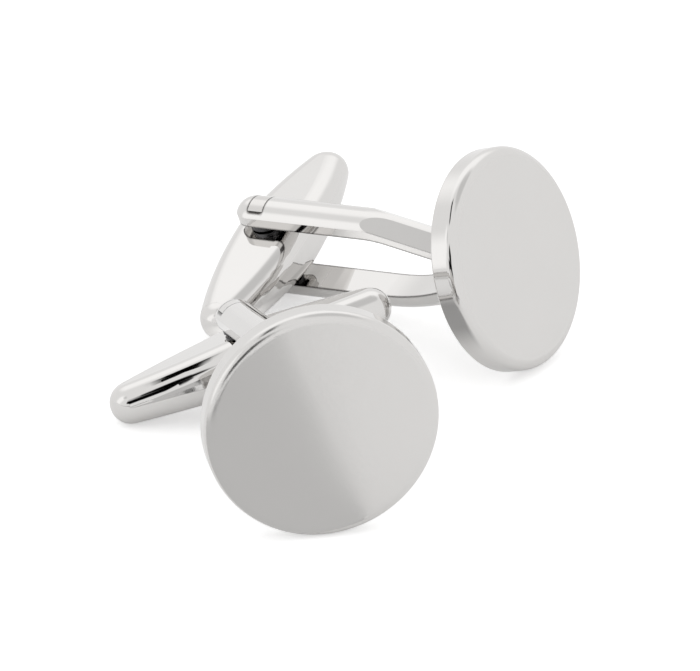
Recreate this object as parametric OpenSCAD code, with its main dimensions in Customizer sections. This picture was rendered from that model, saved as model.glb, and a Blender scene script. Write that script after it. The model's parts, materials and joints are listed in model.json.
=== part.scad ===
// A pair of plain round cufflinks lying on a flat surface, as in the picture.
// Every length is in millimetres. Each link is drawn in its own frame:
// x along the open toggle, y along the pivot, z from the pivot to the disc.

/* [Disc] */
// diameter of the round front disc
disc_d = 16; // [10:0.1:24]
// thickness of the disc
disc_t = 2; // [1.3:0.05:3]
// rounding of the edge around the face
face_round = 0.7; // [0.1:0.01:0.9]
// rounding of the edge around the back
back_round = 0.15; // [0.05:0.01:0.4]

/* [Fork] */
// space between the flat inner faces of the two arms
arm_gap = 4.98; // [4.7:0.02:5.6]
// width of an arm along the toggle
arm_w = 2.66; // [2.3:0.01:3.4]
// thickness of an arm from its flat inner face to its crown
arm_t = 1.54; // [1.2:0.01:2]
// height of the flat side below the crown
arm_side = 0.75; // [0.3:0.01:1]
// distance from the pivot to the centre of the rounded arm end
end_over = 0.79; // [0.3:0.01:1.6]
// distance from the pivot to the back of the disc, along the arms
stem_h = 19.6; // [18:0.1:21]
// angle between the arms and the axis of the disc
disc_lean_angle = 10.2; // [0:0.1:18]
// small turn of the disc axis towards one end of the toggle
disc_turn_angle = 4.9; // [0:0.1:12]
// sideways step of the disc centre from the fork centre
disc_shift = 0.94; // [0:0.01:1.6]
// straight length of the first arm above the pivot
first_straight = 9.2; // [8:0.1:10.5]
// bend radius of the first arm
first_bend_r = 9; // [6:0.1:14]
// bend angle of the first arm
first_bend_angle = 13.4; // [9:0.1:18]
// straight length of the second arm above the pivot
second_straight = 9.5; // [8:0.1:10.5]
// bend radius of the second arm
second_bend_r = 14.6; // [10:0.1:18]
// bend angle of the second arm
second_bend_angle = 26; // [21:0.1:30]
// depth of the flat ground on each shoulder of an arm, past its bend
facet_depth = 0.2; // [0.1:0.01:0.3]
// angle of that flat from the back of the arm
facet_angle = 40; // [30:1:46]
// diameter of the round foot where the arms meet the disc
foot_d = 5.4; // [4.4:0.1:8]
// thickness of the foot
foot_t = 0.9; // [0.5:0.05:2]
// thickness of the solder layer under the disc
solder_t = 0.12; // [0.06:0.01:0.3]
// how far the solder spreads around the foot
solder_rim = 0.28; // [0.1:0.01:0.6]

/* [Pivot] */
// length of the pin head showing in the arm, along the toggle
head_len = 1.9; // [1.4:0.05:2.4]
// width of the pin head along the arm
head_w = 1.25; // [0.9:0.05:1.8]
// gap around the pin head in its slot
head_fit = 0.03; // [0.01:0.01:0.06]
// diameter of the round pin the toggle turns on
pin_d = 1.3; // [0.9:0.05:1.5]
// gap around the pin in the toggle, on the radius
pin_fit = 0.03; // [0.01:0.01:0.08]
// outside diameter of the washers beside the toggle
washer_d = 2.5; // [1.9:0.05:3]
// gap between a washer and the side of the toggle
washer_fit = 0.05; // [0.02:0.01:0.15]
// gap around a piece fixed on the pin, on the radius
sleeve_fit = 0.01; // [0.005:0.005:0.03]
// size across the flats of the square click cam
cam_flat = 1.9; // [1.7:0.05:2.2]
// diameter over the rounded corners of the cam
cam_round = 2.4; // [2.25:0.05:3]
// gap between the cam and the pocket walls
cam_side_fit = 0.1; // [0.04:0.01:0.3]
// half of the space left between the two pin ends inside the cam
pin_end_gap = 0.1; // [0.02:0.01:0.4]

/* [Toggle] */
// length of the toggle from tip to tip
toggle_len = 21; // [18:0.1:24]
// depth of the toggle at its middle
toggle_depth = 6.02; // [5.6:0.02:6.8]
// width of the toggle at its middle
toggle_w = 4.04; // [3.7:0.02:4.5]
// angle by which each side runs in towards the tips
toggle_taper_angle = 3.6; // [2:0.1:4.6]
// radius of the tips seen from the side
tip_r = 1.7; // [1.7:0.02:2.2]
// fine step around each tip, where the long curve ends
tip_step = 0.004; // [0.002:0.001:0.02]
// rounding of all the long edges
toggle_round = 1.4; // [0.6:0.02:1.5]
// half length of the pocket inside
pocket_len = 4.6; // [3.6:0.1:5.4]
// width of the pocket inside
pocket_w = 2.1; // [1.8:0.05:2.4]
// depth of the pocket behind the pivot
pocket_depth = 1.7; // [1.4:0.05:2.1]
// half length of the shelf that carries the spring
shelf_len = 5.9; // [5.8:0.1:6.5]
// half length of the cover set into the toggle
cover_len = 6.7; // [6.1:0.1:7.4]
// width of the cover
cover_w = 2.3; // [1.9:0.05:2.6]
// height of the cover seat above the pivot
cover_seat = 1.52; // [1.36:0.02:1.8]

/* [Spring] */
// half length of the leaf spring
leaf_len = 5.7; // [5:0.1:5.8]
// width of the leaf spring
leaf_w = 1.7; // [1.2:0.05:2]
// thickness of the leaf spring
leaf_t = 0.22; // [0.1:0.01:0.34]
// gap between the cam flat and the leaf spring, as free play of the click
leaf_fit = 0.09; // [0.08:0.01:0.16]

/* [Placing] */
// rear link: turn about x, made first
rear_x_angle = 81.9; // [80:0.1:84]
// rear link: turn about y
rear_y_angle = -17.1; // [-19:0.1:-15]
// rear link: turn about z, made last
rear_z_angle = 58.3; // [40:0.1:80]
// rear link: place of its pivot along x
rear_x = -5.31; // [-12:0.01:0]
// rear link: place of its pivot along y
rear_y = 16.3; // [15:0.01:24]
// rear link: height of its pivot
rear_z = 4; // [4:0.01:5]
// rear link: angle of the toggle from square to the arms
rear_toggle_angle = 6; // [0:0.5:7]
// front link: turn about x, made first
front_x_angle = 75.2; // [73:0.1:77]
// front link: turn about y
front_y_angle = -15.9; // [-18:0.1:-14]
// front link: turn about z, made last
front_z_angle = 17.7; // [5:0.1:30]
// front link: place of its pivot along x
front_x = -6.81; // [-12:0.01:0]
// front link: place of its pivot along y
front_y = -3.5; // [-12:0.01:-3]
// front link: height of its pivot
front_z = 4.05; // [4.05:0.01:5]
// front link: angle of the toggle from square to the arms
front_toggle_angle = 2; // [0:0.5:7]

/* [Hidden] */
disc_r = disc_d / 2;
arm_half = arm_w / 2;
arm_rise = arm_t - arm_side;
crown_r = (arm_half * arm_half + arm_rise * arm_rise) / (2 * arm_rise);
gap_half = arm_gap / 2;
tip_x = toggle_len / 2 - tip_r;
depth_half = toggle_depth / 2;
boat_r = (tip_x * tip_x + depth_half * depth_half - tip_r * tip_r) / (2 * (depth_half - tip_r));
boat_z = boat_r - depth_half;
join_angle = atan(tip_x / boat_z);
side_half = toggle_w / 2;
middle_half = side_half / cos(toggle_taper_angle);
leaf_z = cam_flat / 2 + leaf_fit;
pin_r = pin_d / 2;
reach = stem_h * 2;
spare_angle = 6;
fine = 96;
round_fine = 32;
big_fine = 720;
bright = [0.86, 0.85, 0.83];
satin = [0.78, 0.78, 0.77];
dull = [0.68, 0.67, 0.65];
steel = [0.52, 0.54, 0.58];

// Shared frames

module at_rear() {
  translate([rear_x, rear_y, rear_z])
    rotate([rear_x_angle, rear_y_angle, rear_z_angle])
      children();
}

module at_rear_toggle() {
  at_rear()
    rotate([0, rear_toggle_angle, 0])
      children();
}

// the front link lies half a turn round its own stem
module at_front() {
  translate([front_x, front_y, front_z])
    rotate([front_x_angle, front_y_angle, front_z_angle])
      rotate([0, 0, 180])
        children();
}

module at_front_toggle() {
  at_front()
    rotate([0, front_toggle_angle, 0])
      children();
}

module in_disc_frame() {
  translate([0, disc_shift, stem_h])
    rotate([-disc_lean_angle, disc_turn_angle, 0])
      children();
}

module block(x, y, z_low, z_high) {
  translate([-x, -y, z_low])
    cube([2 * x, 2 * y, z_high - z_low]);
}

// Disc

module disc_profile() {
  square([disc_r - face_round, disc_t]);
  translate([0, back_round])
    square([disc_r, disc_t - back_round - face_round]);
  square([disc_r - back_round, back_round]);
  translate([disc_r - face_round, disc_t - face_round])
    circle(r = face_round, $fn = round_fine);
  translate([disc_r - back_round, back_round])
    circle(r = back_round, $fn = round_fine);
}

module disc() {
  in_disc_frame()
    rotate_extrude($fn = 2 * fine)
      disc_profile();
}

module solder() {
  in_disc_frame()
    translate([0, 0, -solder_t])
      cylinder(h = solder_t, r1 = foot_d / 2, r2 = foot_d / 2 + solder_rim, $fn = fine);
}

// Fork

module arm_section() {
  intersection() {
    translate([0, arm_t - crown_r])
      circle(r = crown_r, $fn = fine);
    translate([-arm_half, 0])
      square([arm_w, arm_t]);
  }
}

module half_section() {
  intersection() {
    arm_section();
    square([arm_half, arm_t]);
  }
}

module arm_end() {
  translate([0, gap_half, -end_over])
    rotate([-90, 0, 0])
      rotate_extrude(angle = 180, $fn = fine)
        half_section();
}

module plain_arm(straight, bend_r, bend) {
  arm_end();
  translate([0, gap_half, -end_over])
    linear_extrude(height = end_over + straight)
      arm_section();
  translate([0, gap_half - bend_r, straight]) {
    difference() {
      rotate([90, 0, 90])
        rotate_extrude(angle = bend + spare_angle, $fn = 4 * fine)
          translate([bend_r, 0])
            rotate([0, 0, -90])
              arm_section();
      rotate([bend, 0, 0])
        block(arm_w, reach, 0, reach);
    }
    rotate([bend, 0, 0])
      translate([0, bend_r, 0])
        linear_extrude(height = stem_h - straight)
          arm_section();
  }
}

// what is ground off the two shoulders past the bend
module shoulder_cuts(straight, bend_r, bend) {
  translate([0, gap_half - bend_r, straight])
    rotate([bend, 0, 0])
      translate([0, bend_r + arm_t - crown_r, 0])
        for (side = [-1, 1])
          rotate([0, 0, side * facet_angle])
            translate([-arm_w, crown_r - facet_depth, -straight])
              cube([2 * arm_w, arm_w, reach]);
}

module arm(straight, bend_r, bend) {
  difference() {
    plain_arm(straight, bend_r, bend);
    shoulder_cuts(straight, bend_r, bend);
  }
}

module arms() {
  arm(first_straight, first_bend_r, first_bend_angle);
  mirror([0, 1, 0])
    arm(second_straight, second_bend_r, second_bend_angle);
}

module head_slot(half_len, half_w) {
  translate([-half_len, -gap_half - 2 * arm_t, -half_w])
    cube([2 * half_len, 2 * gap_half + 4 * arm_t, 2 * half_w]);
}

module fork() {
  difference() {
    union() {
      arms();
      in_disc_frame()
        translate([0, 0, -solder_t - foot_t])
          cylinder(h = foot_t, d = foot_d, $fn = fine);
    }
    in_disc_frame()
      block(reach, reach, -solder_t, reach);
    head_slot(head_len / 2 + head_fit, head_w / 2 + head_fit);
  }
}

// Pivot

module pin() {
  intersection() {
    arm(first_straight, first_bend_r, first_bend_angle);
    translate([-head_len / 2, 0, -head_w / 2])
      cube([head_len, gap_half + 2 * arm_t, head_w]);
  }
  translate([0, pin_end_gap, 0])
    rotate([-90, 0, 0])
      cylinder(h = gap_half - pin_end_gap, r = pin_r, $fn = fine);
}

module cam() {
  cam_half = pocket_w / 2 - cam_side_fit;
  difference() {
    intersection() {
      block(cam_flat / 2, cam_half, -cam_flat / 2, cam_flat / 2);
      translate([0, -cam_half, 0])
        rotate([-90, 0, 0])
          cylinder(h = 2 * cam_half, d = cam_round, $fn = fine);
    }
    translate([0, -arm_gap, 0])
      rotate([-90, 0, 0])
        cylinder(h = 2 * arm_gap, r = pin_r + sleeve_fit, $fn = fine);
  }
}

module washer() {
  difference() {
    translate([0, middle_half + washer_fit, 0])
      rotate([-90, 0, 0])
        cylinder(h = gap_half - middle_half - washer_fit, d = washer_d, $fn = fine);
    rotate([-90, 0, 0])
      cylinder(h = arm_gap, r = pin_r + sleeve_fit, $fn = fine);
  }
}

// Toggle

module mirrored(plane) {
  children();
  mirror(plane)
    children();
}

module rim(inner_r, outer_r, half) {
  difference() {
    translate([inner_r, -half])
      square([outer_r - inner_r, 2 * half]);
    mirrored([0, 1])
      translate([outer_r - toggle_round, half - toggle_round])
        difference() {
          square(2 * toggle_round);
          circle(r = toggle_round, $fn = 2 * round_fine);
        }
  }
}

// the long shallow curve of the toggle with its rounded edges
module boat_arch() {
  translate([0, 0, -boat_z])
    rotate([-90, 0, 0])
      rotate([0, 0, -90 - join_angle - spare_angle])
        rotate_extrude(angle = 2 * (join_angle + spare_angle), $fn = big_fine)
          rim(boat_z - side_half, boat_r, side_half);
}

module boat_tip() {
  translate([tip_x, 0, 0])
    rotate([90, 0, 0])
      rotate_extrude($fn = fine)
        rim(0, tip_r - tip_step, side_half - tip_step);
}

// everything beyond the line where the long curve runs into the tip
module beyond_join() {
  translate([tip_x, 0, 0])
    rotate([0, join_angle, 0])
      translate([0, -toggle_w, -toggle_len])
        cube([toggle_len, 2 * toggle_w, 2 * toggle_len]);
}

// one eighth of the toggle, its side turned in by the taper
module boat_eighth() {
  intersection() {
    rotate([0, 0, -toggle_taper_angle]) {
      difference() {
        boat_arch();
        beyond_join();
      }
      boat_tip();
    }
    cube([toggle_len, toggle_w, toggle_depth]);
  }
}

module boat() {
  mirrored([1, 0, 0])
    mirrored([0, 1, 0])
      mirrored([0, 0, 1])
        boat_eighth();
}

module cover_zone() {
  block(cover_len, cover_w / 2, cover_seat, toggle_depth);
}

module toggle_shell() {
  difference() {
    boat();
    cover_zone();
    block(pocket_len, pocket_w / 2, -pocket_depth, cover_seat);
    block(shelf_len, pocket_w / 2, leaf_z, cover_seat);
    translate([0, -toggle_w, 0])
      rotate([-90, 0, 0])
        cylinder(h = 2 * toggle_w, r = pin_r + pin_fit, $fn = fine);
  }
}

module toggle_cover() {
  intersection() {
    boat();
    cover_zone();
  }
  for (s = [-1, 1])
    translate([s * (leaf_len + pocket_len) / 2, 0, 0])
      block((leaf_len - pocket_len) / 2, leaf_w / 2, leaf_z + leaf_t, cover_seat);
}

module click_spring() {
  block(leaf_len, leaf_w / 2, leaf_z, leaf_z + leaf_t);
}

// Named pieces, rear link

module rear_disc() {
  color(satin) at_rear() disc();
}

module rear_solder() {
  color(dull) at_rear() solder();
}

module rear_fork() {
  color(bright) at_rear() fork();
}

module rear_pin_upper() {
  color(bright) at_rear() pin();
}

module rear_pin_lower() {
  color(bright) at_rear() mirror([0, 1, 0]) pin();
}

module rear_cam() {
  color(steel) at_rear() cam();
}

module rear_washer_upper() {
  color(dull) at_rear() washer();
}

module rear_washer_lower() {
  color(dull) at_rear() mirror([0, 1, 0]) washer();
}

module rear_toggle_shell() {
  color(bright) at_rear_toggle() toggle_shell();
}

module rear_toggle_cover() {
  color(bright) at_rear_toggle() toggle_cover();
}

module rear_click_spring() {
  color(steel) at_rear_toggle() click_spring();
}

// Named pieces, front link

module front_disc() {
  color(satin) at_front() disc();
}

module front_solder() {
  color(dull) at_front() solder();
}

module front_fork() {
  color(bright) at_front() fork();
}

module front_pin_upper() {
  color(bright) at_front() mirror([0, 1, 0]) pin();
}

module front_pin_lower() {
  color(bright) at_front() pin();
}

module front_cam() {
  color(steel) at_front() cam();
}

module front_washer_upper() {
  color(dull) at_front() mirror([0, 1, 0]) washer();
}

module front_washer_lower() {
  color(dull) at_front() washer();
}

module front_toggle_shell() {
  color(bright) at_front_toggle() toggle_shell();
}

module front_toggle_cover() {
  color(bright) at_front_toggle() toggle_cover();
}

module front_click_spring() {
  color(steel) at_front_toggle() click_spring();
}

rear_disc();
rear_solder();
rear_fork();
rear_pin_upper();
rear_pin_lower();
rear_cam();
rear_washer_upper();
rear_washer_lower();
rear_toggle_shell();
rear_toggle_cover();
rear_click_spring();
front_disc();
front_solder();
front_fork();
front_pin_upper();
front_pin_lower();
front_cam();
front_washer_upper();
front_washer_lower();
front_toggle_shell();
front_toggle_cover();
front_click_spring();
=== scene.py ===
import bpy
import json
import math
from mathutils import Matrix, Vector

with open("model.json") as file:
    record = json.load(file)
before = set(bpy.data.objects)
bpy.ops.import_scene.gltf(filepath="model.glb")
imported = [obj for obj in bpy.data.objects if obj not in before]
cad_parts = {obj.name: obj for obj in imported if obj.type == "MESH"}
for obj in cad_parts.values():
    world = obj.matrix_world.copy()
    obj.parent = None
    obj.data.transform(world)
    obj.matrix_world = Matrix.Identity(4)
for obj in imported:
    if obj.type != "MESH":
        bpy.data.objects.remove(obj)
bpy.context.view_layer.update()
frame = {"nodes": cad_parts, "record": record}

MM = 0.001
SIDES = ("rear", "front")

# Sockets of the Mix node
MIX_FACTOR, VALUE_A, VALUE_B, COLOR_A, COLOR_B = 0, 2, 3, 6, 7
VALUE_OUT, COLOR_OUT = 0, 2
# The range that holds most of a noise's values
NOISE_LOW, NOISE_HIGH = 0.3, 0.7


# Node helpers

def link(nt, a, b):
    nt.links.new(a, b)


def new_material(name):
    m = bpy.data.materials.new(name)
    m.use_nodes = True
    nt = m.node_tree
    nt.nodes.clear()
    out = nt.nodes.new("ShaderNodeOutputMaterial")
    return m, nt, out


def fill(nt, socket, value):
    """Give a socket a constant, or link another socket to it."""
    if isinstance(value, bpy.types.NodeSocket):
        link(nt, value, socket)
    else:
        socket.default_value = value


def math_node(nt, op, a, b=0.0):
    m = nt.nodes.new("ShaderNodeMath")
    m.operation = op
    fill(nt, m.inputs[0], a)
    fill(nt, m.inputs[1], b)
    return m.outputs[0]


def vector_node(nt, op, a, b):
    """A vector operation whose result is one number."""
    m = nt.nodes.new("ShaderNodeVectorMath")
    m.operation = op
    fill(nt, m.inputs[0], a)
    fill(nt, m.inputs[1], b)
    return m.outputs["Value"]


def coordinates(nt, kind):
    return nt.nodes.new("ShaderNodeTexCoord").outputs[kind]


def noise(nt, vector, scale, detail):
    n = nt.nodes.new("ShaderNodeTexNoise")
    n.inputs["Scale"].default_value = scale
    n.inputs["Detail"].default_value = detail
    link(nt, vector, n.inputs["Vector"])
    return n.outputs["Fac"]


def remap(nt, value, low, high, to_low, to_high, kind="LINEAR"):
    r = nt.nodes.new("ShaderNodeMapRange")
    r.interpolation_type = kind
    for key, val in (("From Min", low), ("From Max", high), ("To Min", to_low), ("To Max", to_high)):
        r.inputs[key].default_value = val
    link(nt, value, r.inputs["Value"])
    return r.outputs["Result"]


def spread(nt, grain, middle, reach):
    """A noise turned into a number from middle - reach to middle + reach."""
    return remap(nt, grain, NOISE_LOW, NOISE_HIGH, max(0.0, middle - reach), middle + reach)


def blend_values(nt, fac, a, b):
    mix = nt.nodes.new("ShaderNodeMix")
    link(nt, fac, mix.inputs[MIX_FACTOR])
    link(nt, a, mix.inputs[VALUE_A])
    link(nt, b, mix.inputs[VALUE_B])
    return mix.outputs[VALUE_OUT]


def blend_colors(nt, fac, a, b):
    mix = nt.nodes.new("ShaderNodeMix")
    mix.data_type = "RGBA"
    link(nt, fac, mix.inputs[MIX_FACTOR])
    fill(nt, mix.inputs[COLOR_A], a)
    fill(nt, mix.inputs[COLOR_B], b)
    return mix.outputs[COLOR_OUT]


def mix_shaders(nt, fac, a, b, target):
    mix = nt.nodes.new("ShaderNodeMixShader")
    for value, socket in zip((fac, a, b), mix.inputs):
        link(nt, value, socket)
    link(nt, mix.outputs[0], target)


def rgba(color):
    return (*color, 1.0)


# Metals

# Noises, as (cells per metre, detail)
SCRATCHES = (6000.0, 4.0)
POLISH_WAVES = (420.0, 2.0)
CLOUDS = (260.0, 3.0)
SATIN_GRAIN = (14000.0, 2.0)
CLOUD_SHADE = 0.975
SATIN_GRAIN_HEIGHT = 0.10
SATIN_ROUGH, SATIN_REACH = 0.22, 0.03
# The satin is full as far behind the face as this
SATIN_FULL_DEPTH = 0.01 * MM
BUMP_HEIGHT = 0.01 * MM

# Colour of the painted shade along sharp edges: a dark line in place of the dark things that the
# small roundings there reflect.
EDGE_SHADE_COLOR = (0.05, 0.046, 0.043)
LINE_SAMPLES = 12
# How alike the true and the rounded normal are where the line is full and where it ends
LINE_FULL, LINE_END = 0.80, 0.955


def painted_edge_shade(nt, width):
    """1 along sharp edges, where a dark line of painted shade goes, and 0 elsewhere."""
    bevel = nt.nodes.new("ShaderNodeBevel")
    bevel.samples = LINE_SAMPLES
    bevel.inputs["Radius"].default_value = width
    true_normal = nt.nodes.new("ShaderNodeNewGeometry").outputs["Normal"]
    alike = vector_node(nt, "DOT_PRODUCT", bevel.outputs["Normal"], true_normal)
    return remap(nt, alike, LINE_FULL, LINE_END, 1.0, 0.0)


def satin_mask(nt, pos, point, normal, depth):
    """1 on the flat face through the point, falling to 0 at that depth behind it."""
    level = sum(p * q for p, q in zip(point, normal))
    height = vector_node(nt, "DOT_PRODUCT", pos, normal)
    return remap(nt, height, level - depth, level - SATIN_FULL_DEPTH, 0.0, 1.0, "SMOOTHSTEP")


def bump(nt, heights, target):
    total = heights[0]
    for h in heights[1:]:
        total = math_node(nt, "ADD", total, h)
    b = nt.nodes.new("ShaderNodeBump")
    b.inputs["Strength"].default_value = 1.0
    b.inputs["Distance"].default_value = BUMP_HEIGHT
    link(nt, total, b.inputs["Height"])
    link(nt, b.outputs["Normal"], target)


def metal(name, color, rough, scratch=0.02, wave=0.0, grain=0.0, satin=None, edge=0.0):
    """Plated metal. Fine scratches vary its gloss and a slight cloudiness its colour; wave is the
    soft unevenness left by polishing, and grain the height of a rough skin. satin = (point, normal,
    depth) gives the flat face through that point a satin finish, which fades out over that depth
    behind the face. edge is the reach of a dark line of painted shade along sharp edges."""
    m, nt, out = new_material(name)
    b = nt.nodes.new("ShaderNodeBsdfPrincipled")
    b.inputs["Metallic"].default_value = 1.0
    link(nt, b.outputs["BSDF"], out.inputs["Surface"])
    pos = coordinates(nt, "Object")
    fine = noise(nt, pos, *SCRATCHES)
    gloss = spread(nt, fine, rough, scratch)
    heights = []
    if wave:
        heights.append(math_node(nt, "MULTIPLY", noise(nt, pos, *POLISH_WAVES), wave))
    if grain:
        heights.append(math_node(nt, "MULTIPLY", fine, grain))
    if satin:
        face = satin_mask(nt, pos, *satin)
        gloss = blend_values(nt, face, gloss, spread(nt, fine, SATIN_ROUGH, SATIN_REACH))
        grains = math_node(nt, "MULTIPLY", noise(nt, pos, *SATIN_GRAIN), face)
        heights.append(math_node(nt, "MULTIPLY", grains, SATIN_GRAIN_HEIGHT))
    link(nt, gloss, b.inputs["Roughness"])
    cloudy = rgba([c * CLOUD_SHADE for c in color])
    tint = blend_colors(nt, noise(nt, pos, *CLOUDS), cloudy, rgba(color))
    # Painted shade: a dark line along sharp edges.
    if edge:
        tint = blend_colors(nt, painted_edge_shade(nt, edge), tint, rgba(EDGE_SHADE_COLOR))
    link(nt, tint, b.inputs["Base Color"])
    if heights:
        bump(nt, heights, b.inputs["Normal"])
    return m


PLATE = (0.70, 0.688, 0.675)
POLISH = {"rough": 0.05, "wave": 0.6}
EDGE_SHADE_REACH = 0.45 * MM
# The near disc is satin further down its rounded edge
SATIN_DEPTH = {"rear": 0.12 * MM, "front": 1.0 * MM}

polished = metal("polished_plate", PLATE, **POLISH)
# The arms get the dark line of painted shade along their sharp edges.
arm_metal = metal("polished_arms", PLATE, **POLISH, edge=EDGE_SHADE_REACH)
pin_metal = metal("pin_plate", (0.67, 0.655, 0.64), rough=0.09, scratch=0.03)
solder_metal = metal("solder_seam", (0.52, 0.51, 0.50), rough=0.30, scratch=0.06, grain=0.4)
# The washers are painted nearly black: painted shade for the dark gap between the arms and the
# toggle.
washer_shade_metal = metal("washer_painted_shade", (0.10, 0.10, 0.105), rough=0.35, scratch=0.06)
steel = metal("spring_steel", (0.50, 0.51, 0.54), rough=0.28, scratch=0.06)


def disc_metal(side):
    face = next(m for m in frame["record"]["mounts"] if m["name"] == side + "_disc_face")
    satin = (face["pos_m"], face["axis"], SATIN_DEPTH[side])
    return metal(side + "_disc_plate", PLATE, rough=0.07, satin=satin)


PAINT = {
    "solder": solder_metal, "fork": arm_metal, "pin_upper": pin_metal, "pin_lower": pin_metal,
    "cam": steel, "washer_upper": washer_shade_metal, "washer_lower": washer_shade_metal,
    "toggle_shell": polished, "toggle_cover": polished, "click_spring": steel,
}
for side in SIDES:
    for part, mat in (*PAINT.items(), ("disc", disc_metal(side))):
        ob = frame["nodes"][side + "_" + part]
        ob.data.materials.clear()
        ob.data.materials.append(mat)


# Floor

FLOOR_SIZE = 4.0
PAPER = (0.82, 0.82, 0.82)
# What the paper shines by itself, for the camera and for reflections
CAMERA_LIFT, MIRROR_LIFT = 0.45, 0.16
# Painted light and painted shadow on the floor under the links, which only reflections show: x, y,
# radius, amount
PAINTED_LIGHT_SPOT = (-5 * MM, 4 * MM, 9 * MM, 0.4)
PAINTED_SHADOW_SPOT = (1 * MM, -7 * MM, 10 * MM, 0.85)
SPOT_CORE_SHARE = 0.4
PAINTED_SHADOW_GREY = 0.35


def round_spot(nt, x, y, radius, amount):
    """amount around (x, y), falling to 0 at the radius."""
    away = vector_node(nt, "DISTANCE", coordinates(nt, "Object"), (x, y, 0.0))
    return remap(nt, away, SPOT_CORE_SHARE * radius, radius, amount, 0.0, "SMOOTHSTEP")


def paper(name):
    """White paper, lifted to white for the camera, with a painted pool of light and a painted shadow
    that only reflections show.
    """
    m, nt, out = new_material(name)
    sheet = nt.nodes.new("ShaderNodeBsdfDiffuse")
    sheet.inputs["Color"].default_value = rgba(PAPER)
    shine = nt.nodes.new("ShaderNodeEmission")
    lit = nt.nodes.new("ShaderNodeAddShader")
    link(nt, sheet.outputs[0], lit.inputs[0])
    link(nt, shine.outputs[0], lit.inputs[1])
    ray = nt.nodes.new("ShaderNodeLightPath").outputs
    seen = math_node(nt, "MULTIPLY", ray["Is Camera Ray"], CAMERA_LIFT)
    # Painted light: the lift that reflections see, more in the light spot.
    lift_and_painted_light = math_node(nt, "ADD", round_spot(nt, *PAINTED_LIGHT_SPOT), MIRROR_LIFT)
    mirrored = math_node(nt, "MULTIPLY", lift_and_painted_light, ray["Is Glossy Ray"])
    link(nt, math_node(nt, "ADD", seen, mirrored), shine.inputs["Strength"])
    # Painted shadow: a grey glow mixed in where reflections see the shadow spot.
    grey = nt.nodes.new("ShaderNodeEmission")
    grey.inputs["Strength"].default_value = PAINTED_SHADOW_GREY
    painted_shadow_share = math_node(nt, "MULTIPLY", round_spot(nt, *PAINTED_SHADOW_SPOT), ray["Is Glossy Ray"])
    mix_shaders(nt, painted_shadow_share, lit.outputs[0], grey.outputs[0], out.inputs["Surface"])
    return m


bpy.ops.mesh.primitive_plane_add(size=FLOOR_SIZE, location=(0, 0, 0))
floor = bpy.context.object
floor.name = "floor"
floor.data.materials.append(paper("floor_paper"))


# Cards that only reflections show, in millimetres

PAINTED_SHADE_GREY, CARD_BLACK = 0.66, 0.12
CARD_LEFT_X = -60
# Just above the paper
CARD_Z = 0.05
# Right edge of the two cards on the floor: its near end, where grey meets black, and its far end,
# counted from the links
CARD_EDGE = ((2, -24.5), (16, -80), (22, -125))
# The upright card before the near disc, whose right edge slants
UPRIGHT_TOP_Z = 12.7
UPRIGHT_LEFT, UPRIGHT_FOOT, UPRIGHT_TOP = (-6.5, -37.1), (4.67, -35.26), (-0.1, -35.70)


def card(name, corners, shade):
    """A grey or black card that glows in reflections only and blocks no light."""
    me = bpy.data.meshes.new(name)
    me.from_pydata([tuple(c * MM for c in p) for p in corners], [], [tuple(range(len(corners)))])
    ob = bpy.data.objects.new(name, me)
    bpy.context.scene.collection.objects.link(ob)
    m, nt, out = new_material(name)
    e = nt.nodes.new("ShaderNodeEmission")
    e.inputs["Color"].default_value = rgba((shade, shade, shade))
    link(nt, e.outputs[0], out.inputs["Surface"])
    me.materials.append(m)
    ob.visible_camera = False
    ob.visible_diffuse = False
    ob.visible_shadow = False
    ob.visible_transmission = False


def floor_card(name, near, far, shade):
    """A card on the floor from the left to the slanting edge between the points near and far."""
    outline = ((CARD_LEFT_X, near[1]), near, far, (CARD_LEFT_X, far[1]))
    card(name, [(*p, CARD_Z) for p in outline], shade)


# Painted shade: the grey floor card and the upright card put the shade of the floor in front of the
# near disc into its reflections.
floor_card("flag_front", CARD_EDGE[0], CARD_EDGE[1], PAINTED_SHADE_GREY)
card("card_near_disc", [(*UPRIGHT_FOOT, CARD_Z), (*UPRIGHT_TOP, UPRIGHT_TOP_Z),
                        (*UPRIGHT_LEFT, UPRIGHT_TOP_Z), (*UPRIGHT_LEFT, CARD_Z)], PAINTED_SHADE_GREY)
# A black card at the table's far edge, seen only in reflections.
floor_card("flag_table_edge", CARD_EDGE[1], CARD_EDGE[2], CARD_BLACK)


# Studio light, a white tent with bands that only reflections show

TENT = 1.0
GLOW, BLACK = 0.28, 1.0
# A band is (start, end, half width, soft edge, strength), with its angles in degrees. Its ends are
# (azimuth, elevation), with azimuth 0 on the camera's side (-Y) and 90 at +X.
GLOW_BANDS = (
    ((-135, 45), (150, 50), 8.0, 22.0, GLOW),
    ((-78, 5), (-66, 30), 5.0, 14.0, GLOW),
)
DIM_BANDS = (
    ((75, 62), (150, 78), 14.0, 14.0, 0.25),
    ((-59, 37), (-54, 34), 4.0, 6.0, 0.30),
)
DARK_BANDS = (
    ((-34, 15), (-6, 16), 6.0, 4.0, BLACK),
    ((-24, 32), (-8, 26), 5.0, 6.0, BLACK),
    ((-92, 64), (-45, 57), 3.0, 4.0, BLACK),
)


def direction(azimuth, elevation):
    a, e = math.radians(azimuth), math.radians(elevation)
    return Vector((math.sin(a) * math.cos(e), -math.cos(a) * math.cos(e), math.sin(e)))


def band(nt, vector, start, end, half_width, soft, strength):
    """strength within half_width of the arc from start to end, falling to 0 over soft."""
    a, b = direction(*start), direction(*end)
    middle = (a + b).normalized()
    reach = a.angle(middle)
    half, soft = math.radians(half_width), math.radians(soft)
    across = vector_node(nt, "DOT_PRODUCT", vector, a.cross(b).normalized())
    across = math_node(nt, "ABSOLUTE", across)
    near = remap(nt, across, math.sin(half), math.sin(half + soft), strength, 0.0, "SMOOTHSTEP")
    along = vector_node(nt, "DOT_PRODUCT", vector, middle)
    along = remap(nt, along, math.cos(reach + soft), math.cos(reach), 0.0, 1.0, "SMOOTHSTEP")
    return math_node(nt, "MULTIPLY", near, along)


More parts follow.
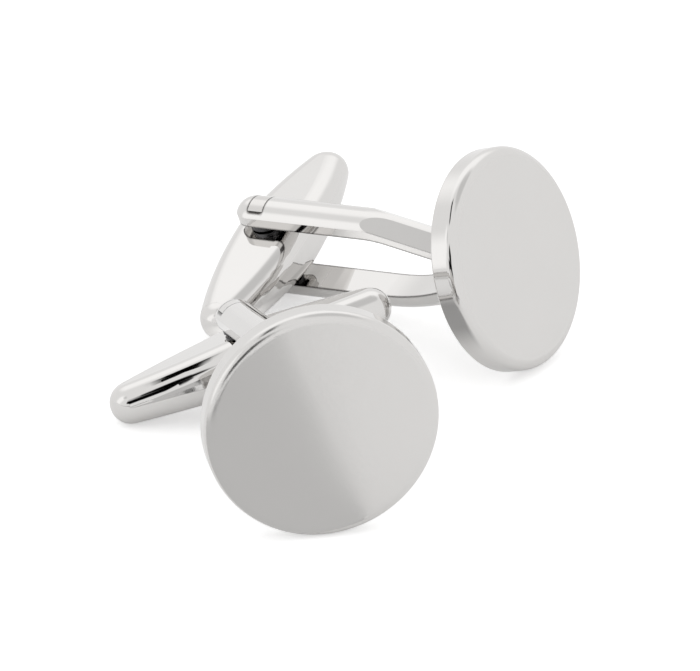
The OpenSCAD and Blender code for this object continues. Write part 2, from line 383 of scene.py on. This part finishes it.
def strongest(nt, vector, bands):
    """The strength of the strongest band in each direction."""
    most = band(nt, vector, *bands[0])
    for other in bands[1:]:
        most = math_node(nt, "MAXIMUM", most, band(nt, vector, *other))
    return most


def white_background(nt, strength):
    shader = nt.nodes.new("ShaderNodeBackground")
    shader.inputs["Color"].default_value = rgba((1.0, 1.0, 1.0))
    fill(nt, shader.inputs["Strength"], strength)
    return shader.outputs[0]


world = bpy.data.worlds.new("studio")
bpy.context.scene.world = world
world.use_nodes = True
wt = world.node_tree
wt.nodes.clear()
sky = coordinates(wt, "Generated")
tent = math_node(wt, "ADD", strongest(wt, sky, GLOW_BANDS), TENT)
tent = math_node(wt, "SUBTRACT", tent, strongest(wt, sky, DIM_BANDS))
clear = math_node(wt, "SUBTRACT", 1.0, strongest(wt, sky, DARK_BANDS))
plain = white_background(wt, TENT)
mirrored = white_background(wt, math_node(wt, "MULTIPLY", tent, clear))
glossy = wt.nodes.new("ShaderNodeLightPath").outputs["Is Glossy Ray"]
surface = wt.nodes.new("ShaderNodeOutputWorld").inputs["Surface"]
mix_shaders(wt, glossy, plain, mirrored, surface)


# Camera, fitted to the outlines of both links in the photograph

ELEV = math.radians(24.0)
DIST = 438.04 * MM
AIM = Vector((0.122 * MM, 8.995 * MM, 0.0))
IMAGE_WIDTH_PX = 700
PX_PER_METRE_AT_AIM = 13.886 / MM
SENSOR_WIDTH = 36.0
CLIP_NEAR, CLIP_FAR = 0.01, 20.0

cam_data = bpy.data.cameras.new("camera")
cam_data.sensor_fit = "HORIZONTAL"
cam_data.sensor_width = SENSOR_WIDTH
cam_data.lens = PX_PER_METRE_AT_AIM * DIST / IMAGE_WIDTH_PX * SENSOR_WIDTH
cam_data.clip_start = CLIP_NEAR
cam_data.clip_end = CLIP_FAR
cam = bpy.data.objects.new("camera", cam_data)
bpy.context.scene.collection.objects.link(cam)
cam.location = AIM + DIST * Vector((0.0, -math.cos(ELEV), math.sin(ELEV)))
cam.rotation_euler = (math.pi / 2 - ELEV, 0.0, 0.0)
bpy.context.scene.camera = cam

bpy.context.scene.view_settings.view_transform = "Standard"
